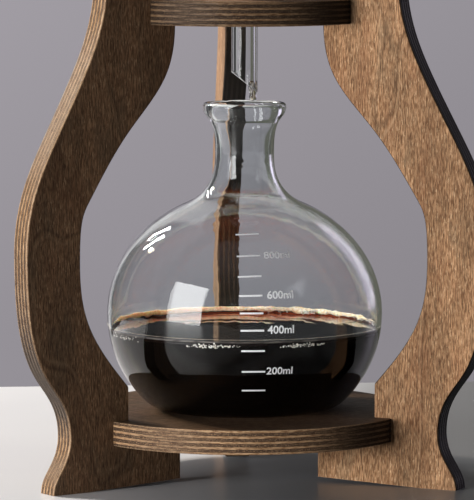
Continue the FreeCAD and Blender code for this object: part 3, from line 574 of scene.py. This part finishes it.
def piece_from_shape(name, shape, material, smooth=True):
    """The piece of a bmesh, which is freed."""
    mesh = bpy.data.meshes.new(name)
    shape.to_mesh(mesh)
    shape.free()
    return finish_piece(name, mesh, material, smooth)


def spun_surface(outline, steps, shift=Vector((0, 0, 0)), ripple=None):
    """Vertices and faces of an outline of (radius, height) turned about Z. An outline that starts or
    ends on the axis is closed there. A ripple moves each point that is off the axis."""
    vertices, faces, rings = [], [], []
    for radius, height in outline:
        if radius < 1e-7:
            rings.append([len(vertices)] * steps)
            vertices.append(Vector((0, 0, height)) + shift)
            continue
        rings.append(list(range(len(vertices), len(vertices) + steps)))
        for step in range(steps):
            angle = 2 * math.pi * step / steps
            point = Vector((radius * math.cos(angle), radius * math.sin(angle), height))
            if ripple:
                point = ripple(point)
            vertices.append(point + shift)
    for lower, upper in zip(rings, rings[1:]):
        for step in range(steps):
            following = (step + 1) % steps
            corners = [lower[step], lower[following], upper[following], upper[step]]
            faces.append(list(dict.fromkeys(corners)))
    return vertices, faces


def smooth_ramp(value, low, high):
    """0 at low, 1 at high, with a soft start and end."""
    share = min(max((value - low) / (high - low), 0.0), 1.0)
    return share * share * (3 - 2 * share)


# ---- coffee --------------------------------------------------------------------------
FOAM_PATCH = (76.0, 16.0)       # azimuth and half width of the widest foam, degrees
# bubble clusters: centre azimuth and spread (degrees), number, height above the surface and reach
# from the glass (millimetres)
BUBBLE_CLUSTERS = ((54, 5, 120, 1.6, 3.0), (76, 12, 90, 1.6, 1.5), (20, 30, 60, 1.2, 0.6),
                   (-157, 13, 70, -0.7, 0.0), (-109, 13, 100, -0.9, 0.0), (-69, 13, 100, -0.9, 0.0))


def flask_inside(height):
    """Inner radius of the flask at a height between its heel and its shoulder."""
    half = (FLASK_RISE if height > FLASK_MIDDLE else FLASK_DROP) - FLASK_WALL
    return (FLASK_RADIUS - FLASK_WALL) * math.sqrt(1 - ((height - FLASK_MIDDLE) / half) ** 2)


def make_coffee_body():
    """The coffee's side, pressed a little into the glass, so that no film of air shows between them."""
    press = 0.25 * MM
    shape = bmesh.new()
    shape.from_mesh(NODES["brewed_coffee"].data)
    bmesh.ops.remove_doubles(shape, verts=shape.verts, dist=1e-6)
    top = [face for face in shape.faces if face.calc_center_median().z > COFFEE_LEVEL - 1e-5]
    bmesh.ops.delete(shape, geom=top, context="FACES")
    shape.normal_update()
    for vertex in shape.verts:
        vertex.co += vertex.normal * press
    return piece_from_shape("coffee_body", shape, coffee_body())


def make_coffee_surface():
    """Level in the middle, drawn up a little where it meets the glass."""
    climb = 0.5 * MM
    reach = 1.6 * MM
    skirt = 0.6 * MM            # hangs down inside the glass
    level_steps, climb_steps = 24, 8
    press = 0.2 * MM            # into the glass
    wall = flask_inside(SURFACE_LEVEL + climb) + press
    outline = [(wall * step / level_steps, SURFACE_LEVEL) for step in range(level_steps - 1)]
    for step in range(climb_steps + 1):
        share = step / climb_steps
        outline.append((wall - reach * (1 - share), SURFACE_LEVEL + climb * share ** 2.4))
    outline.append((wall, SURFACE_LEVEL - skirt))
    vertices, faces = spun_surface(outline, 180)
    return new_piece("coffee_surface", vertices, faces, coffee_surface())


def make_foam():
    """An uneven band of fine foam where the coffee meets the glass, thick at the back and only a
    thread at the front."""
    wall = flask_inside(COFFEE_LEVEL + 1 * MM)
    lift = 2.0 * MM             # of the band's middle above the coffee
    press = 0.05 * MM           # into the glass
    thread, patch_depth, rise = 0.42 * MM, 1.8 * MM, 1.5 * MM
    steps, around = 540, 12
    vertices, faces = [], []
    for step in range(steps):
        angle = 2 * math.pi * step / steps
        direction = Vector((math.cos(angle), math.sin(angle), 0))
        swell = 0.75 + 0.4 * max(0.0, noise.noise(direction * 9)) + 0.20 * noise.noise(direction * 60)
        swell *= 0.02 + 0.98 * smooth_ramp(math.sin(angle), -0.15, 0.6)
        patch = smooth_ramp(abs(math.degrees(angle) - FOAM_PATCH[0]), FOAM_PATCH[1], 0.0)
        inward = thread * swell + patch_depth * patch
        for turn in range(around):
            phase = 2 * math.pi * turn / around
            out = wall + press - inward * (1 - math.cos(phase))
            up = SURFACE_LEVEL + lift + rise * swell * math.sin(phase)
            vertices.append(direction * out + Vector((0, 0, up)))
    for step in range(steps):
        for turn in range(around):
            beside, above = (step + 1) % steps, (turn + 1) % around
            faces.append((step * around + turn, beside * around + turn, beside * around + above,
                          step * around + above))
    return new_piece("coffee_foam", vertices, faces, foam())


def make_bubbles():
    """Small bubbles along the glass, in clusters. Those without reach are half sunk into the glass."""
    picker = random.Random(7)
    shape = bmesh.new()
    for centre, spread, count, rise, reach in BUBBLE_CLUSTERS:
        for _ in range(count):
            angle = math.radians(centre + picker.uniform(-1, 1) * spread * picker.uniform(0.3, 1.0))
            radius = picker.uniform(0.22, 0.48) * MM
            inward = (radius if reach else 0.02 * MM) + picker.random() ** 2 * reach * MM
            height = SURFACE_LEVEL + (rise + picker.gauss(0, 0.45)) * MM
            out = flask_inside(height) - inward
            place = Matrix.Translation((out * math.cos(angle), out * math.sin(angle), height))
            bmesh.ops.create_icosphere(shape, subdivisions=2, radius=radius, matrix=place)
    return piece_from_shape("coffee_bubbles", shape, bubble_film())


def make_coffee():
    body = make_coffee_body()
    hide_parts("brewed_coffee")
    for piece in (body, make_coffee_surface(), make_foam(), make_bubbles()):
        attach(piece, "flask_set")


# ---- printed scale on the flask ------------------------------------------------------
def on_flask(along, up, height, start_angle, lift):
    """A point printed on the flask: along to the right and up the glass from a height, at an angle
    from the scale's middle, lifted off the glass."""
    half = FLASK_RISE if height > FLASK_MIDDLE else FLASK_DROP
    turn = math.asin((height - FLASK_MIDDLE) / half)
    speed = math.hypot(FLASK_RADIUS * math.sin(turn), half * math.cos(turn))
    turn += up / speed
    radius = FLASK_RADIUS * math.cos(turn)
    level = FLASK_MIDDLE + half * math.sin(turn)
    outward = Vector((math.cos(turn) / FLASK_RADIUS, math.sin(turn) / half)).normalized()
    radius += outward.x * lift
    level += outward.y * lift
    azimuth = math.radians(PRINT_AZIMUTH + start_angle) + along / (FLASK_RADIUS * math.cos(turn))
    return Vector((radius * math.cos(azimuth), radius * math.sin(azimuth), level))


def make_ticks(material):
    """The marks, each a thin curved bar. The row leans a little to the left on its way up."""
    vertices, faces = [], []
    steps = 8
    lowest, highest = TICK_HEIGHTS[100], TICK_HEIGHTS[900]
    start_shift, lean = 2.2, 2.6        # degrees
    for height in TICK_HEIGHTS.values():
        shift = start_shift - lean * (height - lowest) / (highest - lowest)
        slant = TICK_SLANT * smooth_ramp(height, 80.0, 110.0)
        for side in range(steps + 1):
            along = TICK_LENGTH * (side / steps - 0.5)
            base = len(vertices)
            for up, lift in ((-1, 0.0), (1, 0.0), (1, 1.0), (-1, 1.0)):
                rise = up * TICK_HALF_WIDTH + along * slant
                vertices.append(on_flask(along, rise, height * MM, shift, PRINT_LIFT * (0.2 + lift)))
            if side:
                for edge in range(4):
                    following = (edge + 1) % 4
                    faces.append((base - 4 + edge, base + edge, base + following, base - 4 + following))
            if side in (0, steps):
                corners = range(4) if side else reversed(range(4))
                faces.append([base + corner for corner in corners])
    return new_piece("volume_ticks", vertices, faces, material, smooth=False)


def make_labels(material):
    """Lettering bent round the glass beside every second mark."""
    pieces = []
    for volume in (200, 400, 600, 800):
        text = bpy.data.curves.new("label", "FONT")
        text.body = "%dml" % volume
        text.size = LABEL_SIZE
        text.extrude = PRINT_LIFT / 2
        text.offset = LABEL_BOLDNESS
        text.resolution_u = 5
        holder = add_object("label", text)
        bpy.context.view_layer.update()
        mesh = bpy.data.meshes.new_from_object(holder)
        bpy.data.objects.remove(holder)
        height = TICK_HEIGHTS[volume] * MM
        for vertex in mesh.vertices:
            x, y, z = vertex.co
            vertex.co = on_flask(x, y - LABEL_SIZE * LABEL_DROP, height, LABEL_START, PRINT_LIFT + z)
        mesh.materials.clear()
        mesh.materials.append(material)
        pieces.append(add_object("label_%d" % volume, mesh))
    return pieces


def make_print():
    material = print_white()
    for piece in [make_ticks(material)] + make_labels(material):
        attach(piece, "flask_set")


# ---- stem's end and the drop under it ------------------------------------------------
def smooth_outline(points, steps):
    """A soft curve through points of (radius, height), in steps from each to the next."""
    curve = []
    for index in range(len(points) - 1):
        before = points[max(index - 1, 0)]
        start, end = points[index], points[index + 1]
        after = points[min(index + 2, len(points) - 1)]
        for step in range(steps):
            share = step / steps
            place = 0.5 * (2 * start + (end - before) * share
                           + (2 * before - 5 * start + 4 * end - after) * share ** 2
                           + (3 * start - before - 3 * end + after) * share ** 3)
            curve.append((max(place.x, 0.0), place.y))
    return curve + [tuple(points[-1])]


def make_drop():
    outline = smooth_outline([Vector(point) * MM for point in DROP_OUTLINE], 5)
    vertices, faces = spun_surface(outline, 40, Vector((DROP_PLACE, 0, 0)))
    piece = new_piece("falling_drop", vertices, faces, dripping_coffee())
    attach(piece, "brewer")


def make_cut_edge():
    """The ground edge at the stem's slanting end, a flat ring that just covers the cut glass."""
    proud = 0.10 * MM           # as far as it stands out of the cut and reaches into the glass
    margin = 0.02 * MM
    steps = 72
    outer = STEM_RADIUS + margin
    inner = STEM_RADIUS - STEM_WALL - margin
    outline = [(outer, proud), (outer, -proud), (inner, -proud), (inner, proud)]

    def on_cut(point):
        rise = STEM_TIP + STEM_SLANT * (STEM_RADIUS - point.x) / (2 * STEM_RADIUS)
        return point + Vector((0, 0, rise))

    vertices, faces = spun_surface(outline, steps, ripple=on_cut)
    last = len(vertices) - steps
    for step in range(steps):
        following = (step + 1) % steps
        faces.append([last + step, last + following, following, step])
    piece = new_piece("stem_cut_edge", vertices, faces, ground_glass(), smooth=False)
    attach(piece, "brewer")


# ---- grounds and paper in the chamber ------------------------------------------------
def grounds_outline(low, high):
    """Radius and height of the bed: a flat foot, the round of the chamber, its side, a level top."""
    radius = 31.1 * MM
    foot_steps, round_steps, side_steps, top_steps = 14, 14, 48, 30
    side_end, top = high - 0.8 * MM, high - 0.5 * MM
    start = math.asin((low - CHAMBER_MIDDLE) / radius)
    outline = [(radius * math.cos(start) * step / foot_steps, low) for step in range(foot_steps + 1)]
    for step in range(1, round_steps):
        turn = start * (1 - step / round_steps)
        outline.append((radius * math.cos(turn), CHAMBER_MIDDLE + radius * math.sin(turn)))
    for step in range(side_steps + 1):
        outline.append((radius, CHAMBER_MIDDLE + (side_end - CHAMBER_MIDDLE) * step / side_steps))
    return outline + [(radius * (1 - step / top_steps), top) for step in range(1, top_steps + 1)]


def make_grounds():
    """The bed of ground coffee, with grains standing out of its side and top."""
    low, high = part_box("coffee_grounds")
    dent = 0.32                 # of the side between the grains, millimetres

    def grainy(point):
        fine = noise.noise(point * 1300) * 0.22 + noise.noise(point * 600) * 0.22
        inward = Vector((-point.x, -point.y, 0.0)).normalized()
        raised = point + inward * max(dent + fine, 0.0) * MM
        if point.z > high.z - 1.0 * MM:
            raised.z += (noise.noise(point * 260) * 0.35 + fine) * MM
        return raised

    outline = grounds_outline(low.z, high.z)
    vertices, faces = spun_surface(outline, 200, ripple=grainy)
    piece = new_piece("grounds_bed", vertices, faces, wet_grounds())
    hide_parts("coffee_grounds")
    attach(piece, "brewer")


def make_paper():
    """Round filter paper on the bed, its edge crimped and lying in soft waves."""
    low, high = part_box("paper_filter")
    radius = high.x
    rings = 26
    crimps, crimp_start, turn_up_start = 36, 0.82, 0.85     # number, and shares of the radius

    def waved(point):
        flat = Vector((point.x, point.y, 0))
        out = flat.length / radius
        angle = math.atan2(point.y, point.x)
        crimp = 0.16 * math.sin(angle * crimps) * max(0.0, (out - crimp_start) / (1 - crimp_start))
        sag = 0.35 * noise.noise(flat * 55) * min(1.0, out * 1.4)
        lift = 0.30 + 0.5 * max(0.0, out - turn_up_start) / (1 - turn_up_start)
        return point + Vector((0, 0, (crimp + sag + lift) * MM))

    outline = [(radius * step / rings, low.z) for step in range(rings + 1)]
    outline += [(radius * step / rings, high.z) for step in range(rings, -1, -1)]
    vertices, faces = spun_surface(outline, 216, ripple=waved)
    vertices[0] = waved(vertices[0])
    vertices[-1] = waved(vertices[-1])
    piece = new_piece("paper_round", vertices, faces, filter_paper())
    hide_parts("paper_filter")
    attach(piece, "brewer")


# ---- surroundings --------------------------------------------------------------------
def table_top():
    """Pale stone on the left, with a painted shadow of the tower that makes it dimmer to the front and
    right.
    """
    tree = new_tree("floor")
    place = tree.place()
    cloud = tree.noise(place, 5.0, 3.0, 0.5)
    bright = tree.mix(tree.steps(cloud, 0.35, 0.65), colour(*FLOOR_BRIGHT), colour(*FLOOR_CLOUD))
    x, y, _ = tree.axes(place)
    # painted shadow of the tower on the floor, to the right and in front
    painted_shadow = tree.steps(tree.math("SUBTRACT", x, tree.math("MULTIPLY", y, 0.3)), -0.07, 0.06)
    painted_shadow = tree.math("MAXIMUM", painted_shadow, tree.steps(y, -0.08, -0.13, 0.0, 0.85))
    body = tree.mix(painted_shadow, bright, colour(*FLOOR_PAINTED_SHADOW))
    return tree.finish(tree.principled({"Base Color": body, "Roughness": 0.30, "Specular IOR Level": 0.35}))


def make_floor():
    """A plain table top; its far edge lies a little behind the tower."""
    half_width, front, back, thick, corner = 1.6, -1.2, 0.32, 0.03, 0.004
    shape = bmesh.new()
    bmesh.ops.create_cube(shape, size=1.0)
    for vertex in shape.verts:
        vertex.co.x *= 2 * half_width
        vertex.co.y = back if vertex.co.y > 0 else front
        vertex.co.z = 0.0 if vertex.co.z > 0 else -thick
    bmesh.ops.bevel(shape, geom=shape.edges[:], offset=corner, segments=3, profile=0.5, affect="EDGES")
    floor = piece_from_shape("floor", shape, table_top(), smooth=False)


def backdrop_tone(tree, x, z):
    """The backdrop is a little lighter towards the upper left."""
    across = tree.ramp(x, 0.02, 0.15, 1.09, 0.91)
    upward = tree.ramp(z, -0.12, -0.04, 0.92, 1.10)
    return tree.math("MULTIPLY", across, upward)


def between(tree, *sides):
    """1 between the sides, each (value, where it is 0, where it is 1), and 0 outside."""
    share = 1.0
    for side in sides:
        share = tree.math("MULTIPLY", share, tree.steps(*side))
    return share


def studio_walls(tree, x, y, z):
    """What metal and glass mirror: a pale wall beside the backdrop on the left, an olive one on the
    right with a lilac window in it, a dark room around the camera, a clouded window at its right."""
    walls = tree.mix(tree.steps(z, 0.45, 0.95), colour(0.06, 0.06, 0.062), colour(0.22, 0.22, 0.23))
    olive = between(tree, (y, 0.55, 0.75), (x, 0.06, 0.12))
    walls = tree.mix(olive, walls, colour(0.13, 0.13, 0.105))
    pale = between(tree, (y, 0.35, 0.60), (x, 0.03, -0.06), (x, -0.36, -0.30))
    walls = tree.mix(pale, walls, colour(0.80, 0.79, 0.79))
    lilac = between(tree, (y, 0.50, 0.58), (y, 0.80, 0.72), (x, 0.40, 0.50), (z, -0.10, 0.0),
                    (z, 0.62, 0.50))
    walls = tree.mix(lilac, walls, colour(1.15, 1.05, 1.30))
    clouds = tree.noise(tree.add("CombineXYZ", {0: x, 1: y, 2: z}), 5.0, 0.0, 0.5)
    cloudy = between(tree, (x, 0.45, 0.55), (x, 0.74, 0.64), (y, -0.30, -0.42), (z, 0.33, 0.41),
                     (z, 0.66, 0.52), (clouds, 0.36, 0.66))
    return tree.mix(cloudy, walls, colour(1.25, 1.30, 1.35))


def make_world():
    """Grey backdrop for sight and for what glass shows of it, a studio with bright and dark walls for
    all else. Level surfaces, such as the coffee, mirror a black card that hangs behind the tower."""
    world = bpy.data.worlds.new("studio")
    bpy.context.scene.world = world
    tree = Tree(world)
    x, y, z = tree.axes(tree.add("TexCoord", output=0))
    ray = tree.add("LightPath").node.outputs
    behind = tree.steps(y, 0.955, 0.975)
    backdrop = tree.scale(BACKDROP, backdrop_tone(tree, x, z))
    studio = tree.mix(behind, studio_walls(tree, x, y, z), backdrop)
    card = between(tree, (z, 0.02, 0.05), (x, -0.05, 0.0), (x, 0.22, 0.17), (z, 0.26, 0.20))
    studio = tree.mix(tree.math("MULTIPLY", behind, card), studio, colour(0.040, 0.040, 0.043))
    studio = tree.scale(studio, tree.ramp(ray["Is Diffuse Ray"], 0.0, 1.0, 1.0, DIFFUSE_SHARE))
    unmirrored = tree.math("MAXIMUM", tree.math("LESS_THAN", ray["Glossy Depth"], 0.5),
                           tree.math("LESS_THAN", ray["Transmission Depth"], NEAR_WALL_CROSSINGS))
    straight = tree.math("MULTIPLY", tree.math("MULTIPLY", ray["Is Transmission Ray"], behind), unmirrored)
    seen = tree.math("MAXIMUM", ray["Is Camera Ray"], straight)
    background = tree.add("Background", {"Color": tree.mix(seen, studio, backdrop), "Strength": 1.0})
    tree.add("OutputWorld", {"Surface": background})


def area_light(name, azimuth, elevation, reach, width, height, power):
    """A rectangular lamp that faces the flask, at a direction (degrees) and distance from it. The
    camera doesn't see it."""
    flask_middle = Vector((0.0, 0.0, 0.09))
    turn, tilt = math.radians(azimuth), math.radians(elevation)
    direction = Vector((math.cos(tilt) * math.cos(turn), math.cos(tilt) * math.sin(turn), math.sin(tilt)))
    data = bpy.data.lights.new(name, "AREA")
    data.shape = "RECTANGLE"
    data.size = width
    data.size_y = height
    data.energy = power
    lamp = add_object(name, data)
    lamp.location = flask_middle + direction * reach
    lamp.rotation_euler = (-direction).to_track_quat("-Z", "Y").to_euler()
    lamp.visible_camera = False
    return lamp


def keep_off_far_wall(lamp):
    """The far wall of the glass doesn't mirror this lamp; its image there would be a grainy patch."""
    lamp.data.use_nodes = True
    nodes, links = lamp.data.node_tree.nodes, lamp.data.node_tree.links
    ray = nodes.new("ShaderNodeLightPath")
    near = nodes.new("ShaderNodeMath")
    near.operation = "LESS_THAN"
    near.inputs[1].default_value = NEAR_WALL_CROSSINGS
    links.new(ray.outputs["Transmission Depth"], near.inputs[0])
    links.new(near.outputs[0], nodes["Emission"].inputs["Strength"])


def make_lights():
    """Two lamps only light rough surfaces, a soft box is only mirrored, two tubes and a warm spot
    lamp do both."""
    near, far = 1.6, 1.8
    key = area_light("key", 214.0, 4.0, near, 0.90, 0.35, 38.0)
    rear_fill = area_light("rear_fill", 134.0, 36.0, far, 0.40, 0.40, 32.0)
    for lamp in (key, rear_fill):
        lamp.visible_glossy = False
        lamp.visible_transmission = False
    soft_box = area_light("soft_box", 214.0, 14.0, near, 0.90, 1.08, 23.0)
    soft_box.visible_diffuse = False
    keep_off_far_wall(soft_box)
    for index, azimuth in enumerate((121.5, 130.0)):
        area_light("tube_%d" % index, azimuth, 31.5, near, 0.04, 0.34, 3.4)
    spot = area_light("spot", 138.0, 31.5, near, 0.06, 0.06, 11.0)
    spot.data.color = (1.0, 0.84, 0.64)


def make_camera():
    data = bpy.data.cameras.new("camera")
    data.sensor_fit = "AUTO"
    data.sensor_width = SENSOR
    data.lens = SENSOR * FOCAL_PIXELS / IMAGE_HEIGHT
    data.shift_x = -AXIS_OFFSET_PIXELS / IMAGE_HEIGHT
    data.clip_start = 0.05
    data.clip_end = 50.0
    camera = add_object("camera", data)
    camera.location = CAMERA_PLACE
    camera.rotation_euler = Euler((math.radians(90 - CAMERA_PITCH), 0, math.radians(-CAMERA_YAW)))
    bpy.context.scene.camera = camera


dress_boards()
dress_fittings()
make_coffee()
make_print()
make_drop()
make_cut_edge()
make_grounds()
make_paper()
make_floor()
make_world()
make_lights()
make_camera()
bpy.context.scene.view_settings.view_transform = "Standard"
